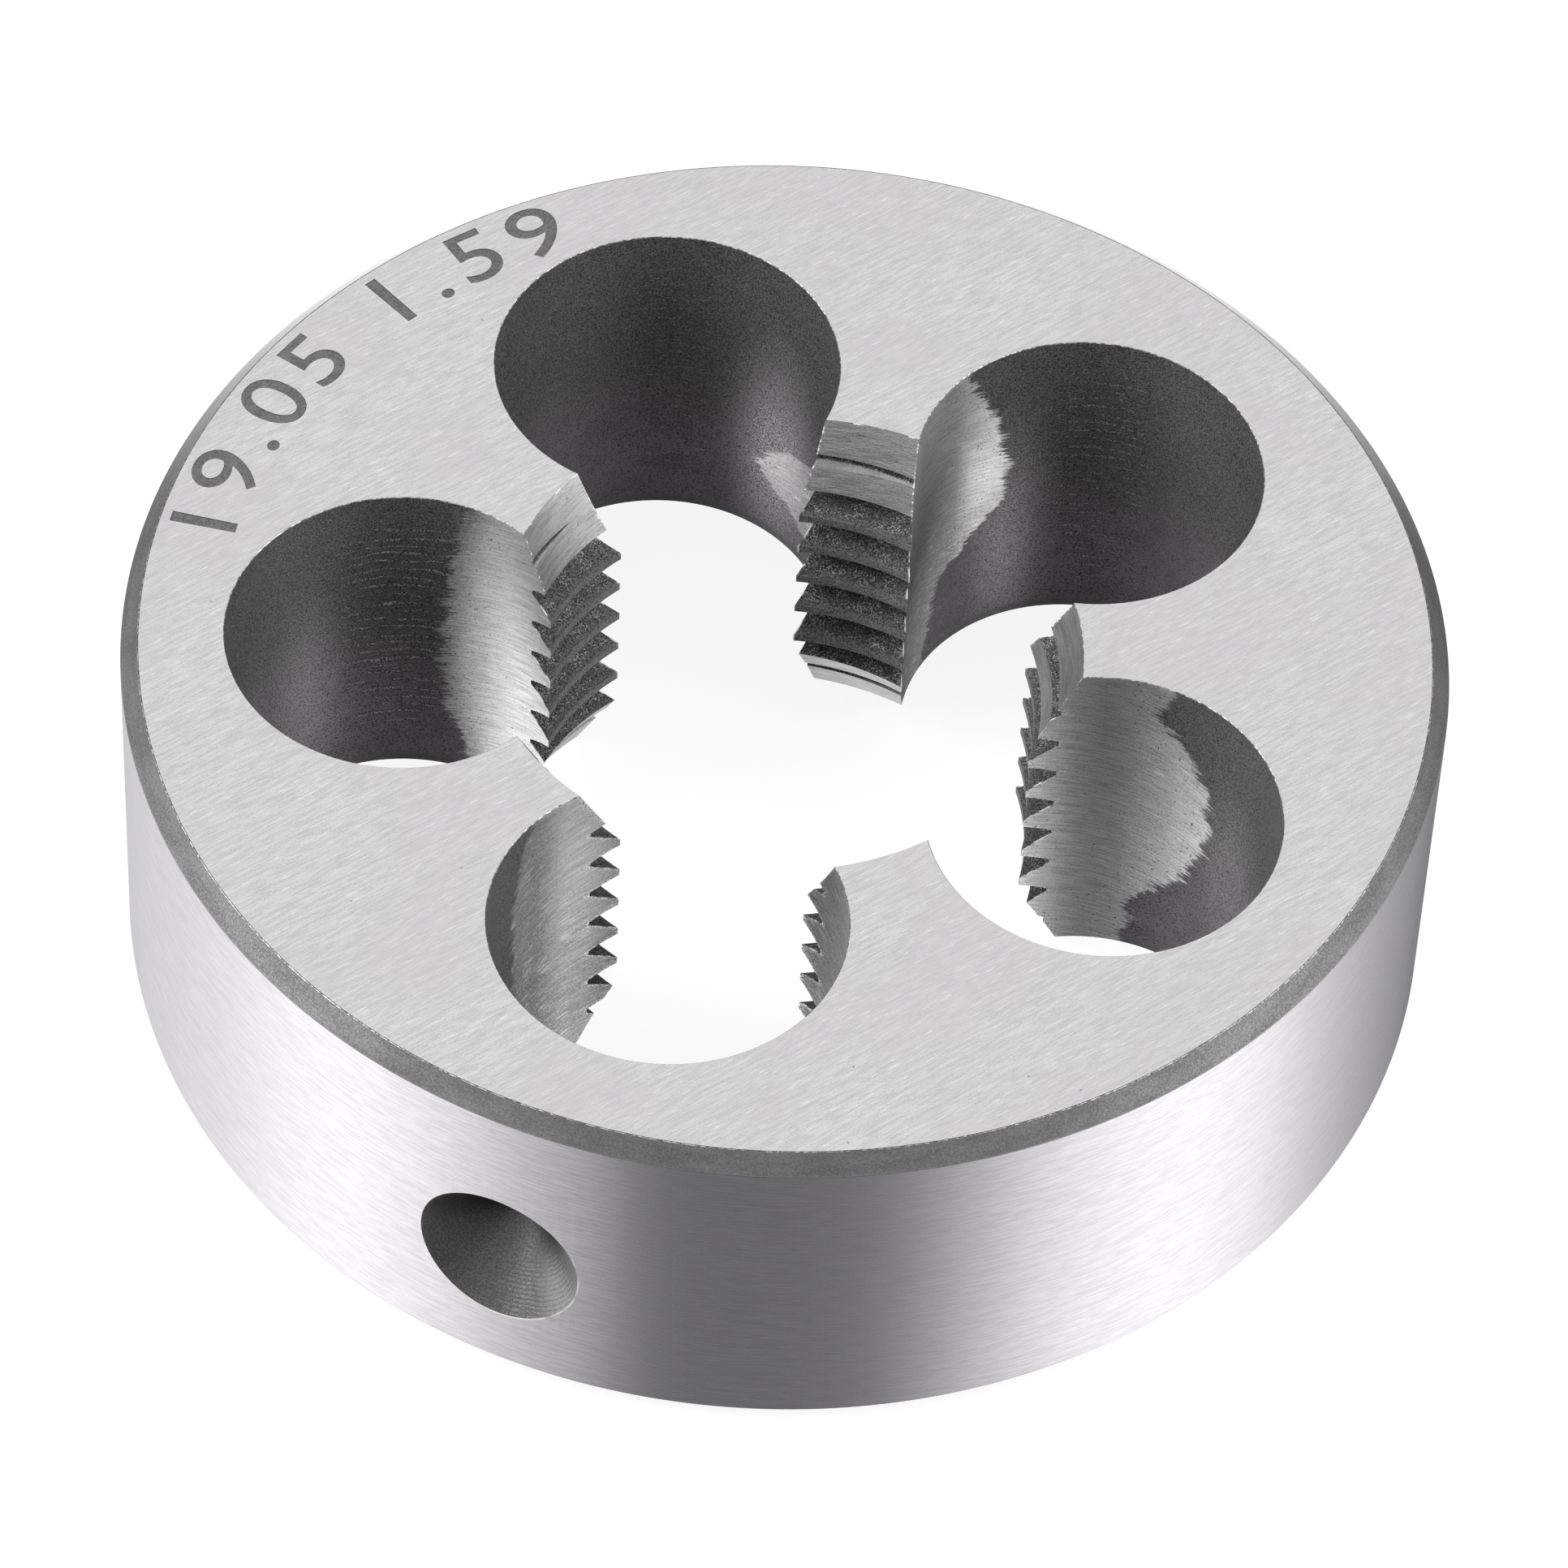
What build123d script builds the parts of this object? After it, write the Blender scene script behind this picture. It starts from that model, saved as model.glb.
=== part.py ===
from build123d import *
import math
import os

# Round threading die, right-hand, closed form, in millimetres and degrees.
# The die axis is Z. The base face lies on the plane z = 0, centred on the
# origin, and the lettered face is the top one. Angles are counted about Z,
# counterclockwise from +X as seen from above.

# Blank
RIM_DIAMETER = 45.0
THICKNESS = 14.0
RIM_BEVEL = 0.6

# Thread that the die cuts
THREAD_DIAMETER = 19.05
THREADS_PER_INCH = 16
THREAD_ANGLE = 60.0
CREST_BORE_DIAMETER = 17.2
THREAD_START_ANGLE = 117.0

# Lead-in cones at both mouths of the thread
MOUTH_DIAMETER = 20.0
MOUTH_HALF_ANGLE = 25.0

# Chip holes round the thread
CHIP_HOLE_COUNT = 5
CHIP_HOLE_DIAMETER = 12.0
CHIP_HOLE_CIRCLE = 26.0
CHIP_HOLE_START_ANGLE = -90.0

# Seats in the rim for the set screws of the holder
SEAT_COUNT = 2
SEAT_DIAMETER = 6.1
SEAT_CONE_ANGLE = 90.0
SEAT_HEIGHT = 6.1
SEAT_START_ANGLE = -97.0

# Sizes that follow
INCH = 25.4
RIM_RADIUS = RIM_DIAMETER / 2
THREAD_RADIUS = THREAD_DIAMETER / 2
CREST_RADIUS = CREST_BORE_DIAMETER / 2
MOUTH_RADIUS = MOUTH_DIAMETER / 2
PITCH = INCH / THREADS_PER_INCH
MOUTH_DEPTH = (MOUTH_RADIUS - CREST_RADIUS) / math.tan(math.radians(MOUTH_HALF_ANGLE))


def turned_blank():
    """Disc with bevelled rims, a bore at the tooth crests and a cone at each mouth."""
    section = Polyline(
        (CREST_RADIUS, MOUTH_DEPTH),
        (MOUTH_RADIUS, 0),
        (RIM_RADIUS - RIM_BEVEL, 0),
        (RIM_RADIUS, RIM_BEVEL),
        (RIM_RADIUS, THICKNESS - RIM_BEVEL),
        (RIM_RADIUS - RIM_BEVEL, THICKNESS),
        (MOUTH_RADIUS, THICKNESS),
        (CREST_RADIUS, THICKNESS - MOUTH_DEPTH),
        close=True,
    )
    return revolve(Plane.XZ * make_face(section), axis=Axis.Z)


def thread_grooves():
    """Right-hand thread, as one short groove for each land and each turn."""
    tangent = math.tan(math.radians(THREAD_ANGLE / 2))
    root_half = PITCH / 16
    inner_radius = CREST_RADIUS - PITCH / 10
    inner_half = root_half + (THREAD_RADIUS - inner_radius) * tangent
    section = Polyline(
        (THREAD_RADIUS, -root_half),
        (THREAD_RADIUS, root_half),
        (inner_radius, inner_half),
        (inner_radius, -inner_half),
        close=True,
    )
    step = 360 / CHIP_HOLE_COUNT
    arc = step - 2
    path = Helix(pitch=PITCH, height=PITCH * arc / 360, radius=THREAD_RADIUS)
    groove = sweep(Plane.XZ * make_face(section), path=path, is_frenet=True)
    turns = math.ceil(THICKNESS / PITCH) + 1
    grooves = []
    for land in range(CHIP_HOLE_COUNT):
        start = CHIP_HOLE_START_ANGLE + land * step + (step - arc) / 2
        lift = (start - THREAD_START_ANGLE) / 360 % 1
        for turn in range(-1, turns):
            grooves.append(Pos(0, 0, (lift + turn) * PITCH) * Rot(0, 0, start) * groove)
    return grooves


def chip_holes():
    """Straight round holes that break into the bore and leave the lands between."""
    drill = Cylinder(CHIP_HOLE_DIAMETER / 2, 2 * THICKNESS)
    drill = Pos(CHIP_HOLE_CIRCLE / 2, 0, THICKNESS / 2) * drill
    step = 360 / CHIP_HOLE_COUNT
    return [Rot(0, 0, CHIP_HOLE_START_ANGLE + i * step) * drill for i in range(CHIP_HOLE_COUNT)]


def screw_seats():
    """Cones that point at the die axis, widest at the rim."""
    half = math.radians(SEAT_CONE_ANGLE / 2)
    past = SEAT_DIAMETER / 4
    wide = SEAT_DIAMETER / 2 + past * math.tan(half)
    deep = wide / math.tan(half)
    cone = Cone(0, wide, deep, align=(Align.CENTER, Align.CENTER, Align.MAX))
    cone = Pos(RIM_RADIUS + past, 0, SEAT_HEIGHT) * Rot(0, 90, 0) * cone
    step = 360 / SEAT_COUNT
    return [Rot(0, 0, SEAT_START_ANGLE + i * step) * cone for i in range(SEAT_COUNT)]


round_die = turned_blank()
for hole in chip_holes():
    round_die -= hole
for seat in screw_seats():
    round_die -= seat
for groove in thread_grooves():
    round_die -= groove

os.makedirs("parts", exist_ok=True)
export_step(round_die, "parts/round_die.step")
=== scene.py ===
# %% [markdown]
# # A round threading die, modelled and finished in Blender
#
# A threading die is a hardened steel ring that cuts an outside thread on a rod.
# Its hole carries the thread, five drilled chip holes break that thread into
# lands with cutting edges, and a cone at each mouth leads the rod in.
#
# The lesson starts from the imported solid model, which holds every true size.
# The solid stays hidden as the frame, and a finer mesh takes its place, because
# a ground and etched surface needs small edges and clean regions to paint.

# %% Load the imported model
import bpy
import bmesh
import math
from mathutils import Matrix, Vector


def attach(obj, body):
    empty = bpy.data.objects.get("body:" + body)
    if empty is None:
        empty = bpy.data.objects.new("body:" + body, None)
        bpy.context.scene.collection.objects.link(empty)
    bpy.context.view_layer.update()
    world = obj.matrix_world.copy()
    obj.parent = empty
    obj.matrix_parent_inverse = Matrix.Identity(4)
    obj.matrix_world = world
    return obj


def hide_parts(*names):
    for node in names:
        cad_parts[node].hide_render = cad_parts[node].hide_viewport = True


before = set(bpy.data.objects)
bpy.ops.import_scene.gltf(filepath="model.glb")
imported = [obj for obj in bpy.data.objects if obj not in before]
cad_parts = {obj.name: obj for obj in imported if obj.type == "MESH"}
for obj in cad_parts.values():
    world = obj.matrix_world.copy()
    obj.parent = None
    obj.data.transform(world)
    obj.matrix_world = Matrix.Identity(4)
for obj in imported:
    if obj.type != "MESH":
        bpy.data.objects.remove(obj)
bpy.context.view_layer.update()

# %% [markdown]
# ## Sizes
#
# The drawing of the die is in millimetres and degrees, and Blender works in
# metres, so one factor turns the first into the second. Angles are counted
# about the die's axis, counterclockwise from +X as seen from above. The die
# stands on the plane z = 0 with its axis on Z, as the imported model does.

# %% Sizes of the die
mm = 0.001

RIM_RADIUS = 22.5
THICKNESS = 14.0
RIM_BEVEL = 0.6

INCH = 25.4
PITCH = INCH / 16
THREAD_RADIUS = 9.525        # deepest point of the grooves
CREST_RADIUS = 8.6           # flat tops of the teeth
ROOT_FLAT = PITCH / 8
FLANK_SLOPE = math.tan(math.radians(30))    # two flanks stand at 60 degrees
THREAD_START = 117.0         # where the groove passes the base face

MOUTH_RADIUS = 10.0
MOUTH_HALF_ANGLE = 25.0

HOLE_COUNT = 5
HOLE_RADIUS = 6.0
HOLE_CIRCLE = 13.0
FIRST_HOLE = -90.0

SEAT_RADIUS = 3.05
SEAT_HEIGHT = 6.1
FIRST_SEAT = -97.0
print(f"ring {2 * RIM_RADIUS} x {THICKNESS} mm, thread pitch {PITCH:.4f} mm")


def around(radius, degrees, height=0.0):
    """A point of the drawing, in metres, from its radius, angle and height."""
    angle = math.radians(degrees)
    return Vector((radius * math.cos(angle), radius * math.sin(angle), height)) * mm


# %% [markdown]
# ## The camera
#
# The photograph looks down at the die from a little under fifty degrees with a
# long lens, so near and far edges are nearly the same size. The camera is placed
# before anything is modelled, because every later choice is judged through it.
# It is aimed at a point and then rolled a few degrees about its own axis.

# %% Place the camera
CAMERA_PLACE = Vector((52.472, -190.888, 245.125)) * mm
CAMERA_AIM = Vector((0.342, -0.625, 7.0)) * mm
CAMERA_ROLL = 2.83
CAMERA_LENS = 206.55

bpy.ops.object.select_all(action="DESELECT")
bpy.ops.object.camera_add(location=CAMERA_PLACE)
camera = bpy.context.object
camera.name = "camera"
camera.data.lens = CAMERA_LENS
camera.data.sensor_width = 36.0
camera.data.clip_start = 0.01
camera.rotation_mode = "QUATERNION"
aim = (CAMERA_AIM - CAMERA_PLACE).to_track_quat("-Z", "Y")
roll = Matrix.Rotation(math.radians(CAMERA_ROLL), 4, "Z").to_quaternion()
camera.rotation_quaternion = aim @ roll
bpy.context.scene.camera = camera
print("camera stands", round((CAMERA_PLACE - CAMERA_AIM).length / mm), "mm away")

# %% [markdown]
# ## Small tools for the bench
#
# An operator acts on whatever is selected, and loading the model leaves its
# objects selected. So each tool first clears the selection. Faces are picked by
# a test on their middle and their normal, which does by rule what a hand does
# with the mouse, and gives the same choice on every run.

# %% Helpers for selecting, shaping and cutting
WELD = 1e-7                  # metres within which two points become one
ON_PLANE = 1e-8              # metres within which a point lies on a cutting plane


def only(piece):
    """Leave edit mode, and make one object the selected and the active one."""
    if bpy.context.mode != "OBJECT":
        bpy.ops.object.mode_set(mode="OBJECT")
    bpy.ops.object.select_all(action="DESELECT")
    bpy.context.view_layer.objects.active = piece
    piece.select_set(True)


def pick(piece, wanted, kind="FACE"):
    """Enter edit mode with the faces or edges that pass the test selected."""
    only(piece)
    bpy.ops.object.mode_set(mode="EDIT")
    bpy.ops.mesh.select_mode(type=kind)
    bpy.ops.mesh.select_all(action="DESELECT")
    shape = bmesh.from_edit_mesh(piece.data)
    parts = shape.faces if kind == "FACE" else shape.edges
    chosen = 0
    for part in parts:
        if wanted(part):
            part.select_set(True)
            chosen += 1
    shape.select_flush_mode()
    bmesh.update_edit_mesh(piece.data)
    return chosen


def done():
    """Leave edit mode and keep the place of the object in its mesh."""
    bpy.ops.object.mode_set(mode="OBJECT")
    bpy.ops.object.transform_apply()


def copy_turned(piece, degrees):
    """A copy with its own mesh, turned about the axis of the die."""
    twin = piece.copy()
    twin.data = piece.data.copy()
    bpy.context.scene.collection.objects.link(twin)
    twin.data.transform(Matrix.Rotation(math.radians(degrees), 4, "Z"))
    return twin


def cut_away(piece, cutter):
    """Take the cutter's shape out of the piece, and throw the cutter away."""
    only(piece)
    cut = piece.modifiers.new("cut", "BOOLEAN")
    cut.operation = "DIFFERENCE"
    cut.solver = "MANIFOLD"
    cut.object = cutter
    bpy.ops.object.modifier_apply(modifier=cut.name)
    bpy.data.objects.remove(cutter)
    print(f"  {piece.name}: {len(piece.data.polygons)} faces after the cut")


# %% [markdown]
# ## The blank
#
# The real die is turned from a bar: a disc with a small bevel on each rim. A
# cylinder with many sides gives the disc, and a bevel on its two rim edges gives
# the flat band. A second, much finer bevel breaks the sharp edges that are left,
# as a quick touch of a stone does. It is what catches the light.

# %% Turn the blank
RIM_SIDES = 320
EDGE_BREAK = 0.025

bpy.ops.object.select_all(action="DESELECT")
bpy.ops.mesh.primitive_cylinder_add(
    vertices=RIM_SIDES, radius=RIM_RADIUS * mm, depth=THICKNESS * mm,
    location=(0, 0, THICKNESS / 2 * mm))
die = bpy.context.object
die.name = "die_body"
done()


def on_rim(edge):
    """True for an edge that runs round the rim at the top or the bottom."""
    a, b = (v.co for v in edge.verts)
    return abs(a.z - b.z) < 0.01 * mm


for width, segments in ((RIM_BEVEL, 1), (EDGE_BREAK, 2)):
    count = pick(die, on_rim, "EDGE")
    bpy.ops.mesh.bevel(offset=width * mm, segments=segments, affect="EDGES")
    done()
    print(f"bevelled {count} edges by {width} mm")

# %% [markdown]
# ## The thread
#
# A thread is a groove that climbs one pitch in each turn. Cutting it one turn at
# a time would leave seams, so the whole threaded rod that fits the die is made
# first, and taken out of the blank in one cut, as a tap would do it. The rod
# starts as one pitch of its outline, drawn by extruding a point: flat, flank,
# top, flank, flat. The Screw modifier carries that outline round and up. A right
# hand thread rises as it turns counterclockwise.

# %% Draw one pitch of the threaded rod
THREAD_STEPS = 120
THREAD_TURNS = 13
ROD_START = -2                # pitches below the base face
ROD_OVER = 0.7                # how far it stands out of both faces
GROOVE_HALF = ROOT_FLAT / 2 + (THREAD_RADIUS - CREST_RADIUS) * FLANK_SLOPE

outline = [
    (CREST_RADIUS, -PITCH / 2), (CREST_RADIUS, -GROOVE_HALF), (THREAD_RADIUS, -ROOT_FLAT / 2),
    (THREAD_RADIUS, ROOT_FLAT / 2), (CREST_RADIUS, GROOVE_HALF), (CREST_RADIUS, PITCH / 2)]

bpy.ops.object.select_all(action="DESELECT")
bpy.ops.mesh.primitive_plane_add(size=mm, location=(0, 0, 0))
rod = bpy.context.object
rod.name = "threaded_rod"
bpy.ops.object.mode_set(mode="EDIT")
bpy.ops.mesh.select_mode(type="VERT")
bpy.ops.mesh.select_all(action="SELECT")
bpy.ops.mesh.merge(type="CENTER")
bpy.ops.transform.translate(value=(outline[0][0] * mm, 0, outline[0][1] * mm))
for (r0, z0), (r1, z1) in zip(outline, outline[1:]):
    bpy.ops.mesh.extrude_vertices_move(
        TRANSFORM_OT_translate={"value": ((r1 - r0) * mm, 0, (z1 - z0) * mm)})
bpy.ops.object.mode_set(mode="OBJECT")
print("one pitch has", len(rod.data.vertices), "points")

# %% Carry the outline round and up, then close the ends
screw = rod.modifiers.new("thread", "SCREW")
screw.axis = "Z"
screw.angle = math.radians(360)
screw.screw_offset = PITCH * mm
screw.iterations = THREAD_TURNS
screw.steps = screw.render_steps = THREAD_STEPS
only(rod)
bpy.ops.object.modifier_apply(modifier=screw.name)
rod.data.transform(Matrix.Rotation(math.radians(THREAD_START), 4, "Z")
                   @ Matrix.Translation((0, 0, ROD_START * PITCH * mm)))
bpy.ops.object.mode_set(mode="EDIT")
bpy.ops.mesh.select_all(action="SELECT")
bpy.ops.mesh.remove_doubles(threshold=WELD)
for height, keep_above in ((-ROD_OVER, True), (THICKNESS + ROD_OVER, False)):
    bpy.ops.mesh.select_all(action="SELECT")
    bpy.ops.mesh.bisect(
        plane_co=(0, 0, height * mm), plane_no=(0, 0, 1), use_fill=True,
        clear_inner=keep_above, clear_outer=not keep_above, threshold=ON_PLANE)
bpy.ops.mesh.select_all(action="SELECT")
bpy.ops.mesh.normals_make_consistent(inside=False)
done()
heights = [v.co.z / mm for v in rod.data.vertices]
print(f"rod from {min(heights):.2f} to {max(heights):.2f} mm, {len(rod.data.polygons)} faces")
cut_away(die, rod)

# %% [markdown]
# ## The cone at each mouth
#
# The rod to be threaded has to find its way in, so the first turns of thread are
# cut back by a countersink at each end. Behind each cutting edge the cone falls
# away by a hair, which is called relief, so that only the edge rubs. That is why
# the last groove shows as a long dark sliver that dies out along the land. The
# cutter is a cone whose points are eased outwards behind each edge. It runs past
# the face and past the depth it needs, so no two faces of cutter and blank lie
# in one plane.

# %% Cut the two mouths
MOUTH_SIDES = 240
MOUTH_SLOPE = math.tan(math.radians(MOUTH_HALF_ANGLE))
MOUTH_REACH = 4.0
MOUTH_OVER = 1.0
RELIEF = 0.0095              # millimetres for each degree behind the cutting edge
EDGE_LEAD = 0.06             # the edge itself stands in by this much
LAND_START, LAND_END = 24.0, 48.0     # degrees past the middle of a chip hole


def relief(degrees, side):
    """How far the cone falls away. Top and bottom cut at opposite ends of a land."""
    along = (degrees - FIRST_HOLE) % (360 / HOLE_COUNT)
    behind = LAND_END - along if side > 0 else along - LAND_START
    return RELIEF * behind - EDGE_LEAD


for side in (1, -1):
    bpy.ops.object.select_all(action="DESELECT")
    face_height = THICKNESS if side > 0 else 0.0
    bpy.ops.mesh.primitive_cone_add(
        vertices=MOUTH_SIDES,
        radius1=(MOUTH_RADIUS - MOUTH_REACH * MOUTH_SLOPE) * mm,
        radius2=(MOUTH_RADIUS + MOUTH_OVER * MOUTH_SLOPE) * mm,
        depth=(MOUTH_REACH + MOUTH_OVER) * mm,
        location=(0, 0, (face_height + side * (MOUTH_OVER - MOUTH_REACH) / 2) * mm),
        rotation=(0 if side > 0 else math.pi, 0, 0))
    countersink = bpy.context.object
    countersink.name = "countersink"
    done()
    for vertex in countersink.data.vertices:
        angle = math.degrees(math.atan2(vertex.co.y, vertex.co.x))
        vertex.co += around(relief(angle, side), angle)
    cut_away(die, countersink)

# %% [markdown]
# ## The chip holes
#
# Five holes are drilled through the ring where they break into the bore. They
# carry the chips away, and their walls are the cutting faces of the teeth. The
# drill is modelled once, as a cylinder whose ends flare out a few hundredths of a
# millimetre, so the same cut leaves a fine broken edge round each hole on both
# faces. Level cuts divide its wall into rows, so that a value painted on its
# points can follow a curved line. Copies are turned round the axis.

# %% Drill the five chip holes
HOLE_SIDES = 120
WALL_ROWS = 28

bpy.ops.object.select_all(action="DESELECT")
bpy.ops.mesh.primitive_cylinder_add(
    vertices=HOLE_SIDES, radius=HOLE_RADIUS * mm, depth=(THICKNESS - 2 * EDGE_BREAK) * mm,
    location=around(HOLE_CIRCLE, FIRST_HOLE, THICKNESS / 2))
drill = bpy.context.object
drill.name = "chip_drill"
done()
for row in range(1, WALL_ROWS):
    pick(drill, lambda face: True)
    bpy.ops.mesh.bisect(
        plane_co=(0, 0, THICKNESS * row / WALL_ROWS * mm), plane_no=(0, 0, 1), threshold=ON_PLANE)
done()
flare = (HOLE_RADIUS + 2 * EDGE_BREAK) / HOLE_RADIUS
for side in (1, -1):
    pick(drill, lambda face, side=side: face.normal.z * side > 0.9)
    bpy.ops.mesh.extrude_region_move(
        TRANSFORM_OT_translate={"value": (0, 0, side * 2 * EDGE_BREAK * mm)})
    bpy.ops.transform.resize(
        value=(flare, flare, 1), center_override=around(HOLE_CIRCLE, FIRST_HOLE))
    bpy.ops.mesh.extrude_region_move(TRANSFORM_OT_translate={"value": (0, 0, side * mm)})
    done()
turns = [360 / HOLE_COUNT * k for k in range(HOLE_COUNT)]
drills = [drill] + [copy_turned(drill, turn) for turn in turns[1:]]
for one in drills:
    cut_away(die, one)
print("holes at", [FIRST_HOLE + turn for turn in turns], "degrees")

# %% [markdown]
# ## The clamping seats
#
# A die sits in a holder whose screws press into small cone seats in the rim. Each
# is drilled with a pointed drill of ninety degrees, so it is as deep as it is
# half wide. A cone with its point towards the axis is the cutter.

# %% Drill the two seats
SEAT_SIDES = 96
SEAT_OVER = 1.0
SEAT_TIP = 0.05               # radius of the drill's blunt point

bpy.ops.object.select_all(action="DESELECT")
bpy.ops.mesh.primitive_cone_add(
    vertices=SEAT_SIDES, radius1=(SEAT_RADIUS + SEAT_OVER) * mm, radius2=SEAT_TIP * mm,
    depth=(SEAT_RADIUS + SEAT_OVER - SEAT_TIP) * mm, rotation=(0, -math.pi / 2, 0),
    location=((RIM_RADIUS + (SEAT_OVER - SEAT_RADIUS + SEAT_TIP) / 2) * mm, 0, SEAT_HEIGHT * mm))
seat_drill = bpy.context.object
seat_drill.name = "seat_drill"
done()
seat_drill.data.transform(Matrix.Rotation(math.radians(FIRST_SEAT), 4, "Z"))
for one in (seat_drill, copy_turned(seat_drill, 180)):
    cut_away(die, one)

# %% [markdown]
# ## The size marks
#
# A die carries the size of its thread, etched into the face. Here these are plain
# numbers only: the diameter and the pitch in millimetres. Text is typed flat,
# given depth and made a mesh. Its points are then wrapped round an arc, with the
# tops of the numbers outwards, and it is cut a little way into the face.

# %% Etch the numbers
MARK_TEXT = "19.05 1.59"
MARK_HEIGHT = 2.35
MARK_SPACING = 1.16
MARK_WIDEN = 1.16
MARK_BOLDEN = 0.008
MARK_RADIUS = 19.25           # the line that the numbers stand on
MARK_MIDDLE = 158.8
MARK_DEPTH = 0.02
DIGIT_SHARE = 0.7             # the height of a digit as a share of the size of the text

bpy.ops.object.select_all(action="DESELECT")
bpy.ops.object.text_add(location=(0, 0, 0))
marks = bpy.context.object
marks.name = "size_marks"
marks.data.body = MARK_TEXT
marks.data.size = MARK_HEIGHT * mm / DIGIT_SHARE
marks.data.align_x = "CENTER"
marks.data.extrude = 2 * MARK_DEPTH * mm
marks.data.offset = MARK_BOLDEN * mm
marks.data.resolution_u = 6
marks.data.space_character = MARK_SPACING
only(marks)
bpy.ops.object.convert(target="MESH")
for vertex in marks.data.vertices:
    along, up, out = vertex.co
    swing = math.degrees(MARK_WIDEN * along / mm / MARK_RADIUS)
    bent = around(MARK_RADIUS + up / mm, MARK_MIDDLE - swing)
    vertex.co = bent + Vector((0, 0, (THICKNESS + MARK_DEPTH) * mm + out))
bpy.ops.object.mode_set(mode="EDIT")
bpy.ops.mesh.select_all(action="SELECT")
bpy.ops.mesh.remove_doubles(threshold=WELD)
bpy.ops.mesh.normals_make_consistent(inside=False)
done()
print("marks have", len(marks.data.polygons), "faces")
cut_away(die, marks)

# %% [markdown]
# ## Regions and shading
#
# Each surface of the die was made by another tool, so each gets a finish of its
# own: ground faces, a ground rim, turned bevels, drilled walls, countersunk
# mouths, cut threads and drilled seats. A surface is known by its place and by
# the way it faces. Smooth shading is limited by angle, so that the sides of a
# round wall blend and the edges of the teeth stay sharp. The limit lies below the
# 15 degrees at each step of a broken edge, or the flat bevel would look round.

# %% Tell the surfaces apart
SMOOTH_LIMIT = 10.0
FINISHES = ["ground_face", "ground_rim", "turned_bevel", "drilled_wall", "cut_mouth",
            "cut_thread", "drilled_seat", "broken_edge", "etched_mark"]


def hole_place(point):
    """The nearest chip hole: its number, the distance from its axis, the turn from the bore."""
    angle = math.degrees(math.atan2(point.y, point.x))
    number = round((angle - FIRST_HOLE) / (360 / HOLE_COUNT)) % HOLE_COUNT
    heading = FIRST_HOLE + number * 360 / HOLE_COUNT
    out = point - around(HOLE_CIRCLE, heading)
    turn = math.degrees(math.atan2(out.y, out.x)) - heading - 180
    return number, math.hypot(out.x, out.y) / mm, (turn + 180) % 360 - 180


def finish_of(face):
    """The name of the finish for one face, from its middle and its normal."""
    middle, facing = face.center, abs(face.normal.z)
    radius, height = math.hypot(middle.x, middle.y) / mm, middle.z / mm
    number, gap, turn = hole_place(middle)
    if facing > 0.99 and (height < 0.005 or height > THICKNESS - 0.005):
        return "ground_face"
    if MARK_RADIUS - 0.1 < radius < RIM_RADIUS - RIM_BEVEL - 0.1 and height > THICKNESS - 0.1:
        return "etched_mark" if gap > HOLE_RADIUS + 0.1 else "broken_edge"
    for seat in (FIRST_SEAT, FIRST_SEAT + 180):
        centre = around(RIM_RADIUS, seat, SEAT_HEIGHT)
        if radius < RIM_RADIUS - 0.03 and (middle - centre).length / mm < SEAT_RADIUS + 0.02:
            return "drilled_seat"
    if radius > RIM_RADIUS - 0.01 and facing < 0.1:
        return "ground_rim"
    if radius > RIM_RADIUS - RIM_BEVEL - 0.01:
        return "turned_bevel" if 0.6 < facing < 0.8 else "broken_edge"
    if abs(gap - HOLE_RADIUS) < 0.02 and facing < 0.1:
        return "drilled_wall"
    if gap < HOLE_RADIUS + 0.1 and min(height, THICKNESS - height) < 0.1:
        return "broken_edge"
    return "cut_mouth" if 0.35 < facing < 0.5 and radius < MOUTH_RADIUS + 0.01 else "cut_thread"


only(die)
die.data.materials.clear()
for name in FINISHES:
    die.data.materials.append(bpy.data.materials.new(name))
tally = dict.fromkeys(FINISHES, 0)
for face in die.data.polygons:
    name = finish_of(face)
    face.material_index = FINISHES.index(name)
    tally[name] += 1
print("faces of each finish:", tally)
bpy.ops.object.shade_smooth_by_angle(angle=math.radians(SMOOTH_LIMIT))

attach(die, "root")
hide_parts("round_die")

# %% [markdown]
# ## The reground strips in the chip holes
#
# The walls are dark from hardening, except next to the lands, where a small
# grinding wheel has sharpened the cutting faces. Each strip ends in an arc, since
# the wheel is round. A value painted on the points of the walls says how far a
# point lies inside the strip, in millimetres. The finish of the wall reads it
# and adds the ragged edge, which no mesh needs to carry. Three more values are
# painted the same way, and all three are painted light: a painted highlight and
# shade on each strip, painted glints on the drill's rings, and a painted sheen on
# the dark skin.

# %% Choose the strips and the worn places
# For each hole and side, the arcs that a strip ends in: the height and the turn of its widest
# place, and how fast it narrows above and below.
STRIPS = {
    (0, 1): [(9.0, 77.5, 0.45, 0.2)], (0, -1): [(7.0, 80.0, 0.2, 0.3)],
    (1, -1): [(7.9, 97.0, 1.15, 0.9), (2.0, 70.0, 0.3, 0.3), (14.2, 80.0, 0.0, 2.3)],
    (1, 1): [(7.0, 78.0, 0.2, 0.2)],
    (2, -1): [(7.2, 102.0, 0.42, 2.6), (3.0, 71.0, 0.3, 0.6)], (2, 1): [(6.0, 84.0, 0.3, 0.4)],
    (3, 1): [(3.6, 126.0, 7.2, 5.3), (9.0, 76.0, 0.3, 0.2)], (3, -1): [(7.0, 82.0, 0.25, 0.3)],
    (4, 1): [(5.5, 77.8, 0.15, 0.4)], (4, -1): [(7.4, 86.0, 0.3, 0.3)]}
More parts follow.
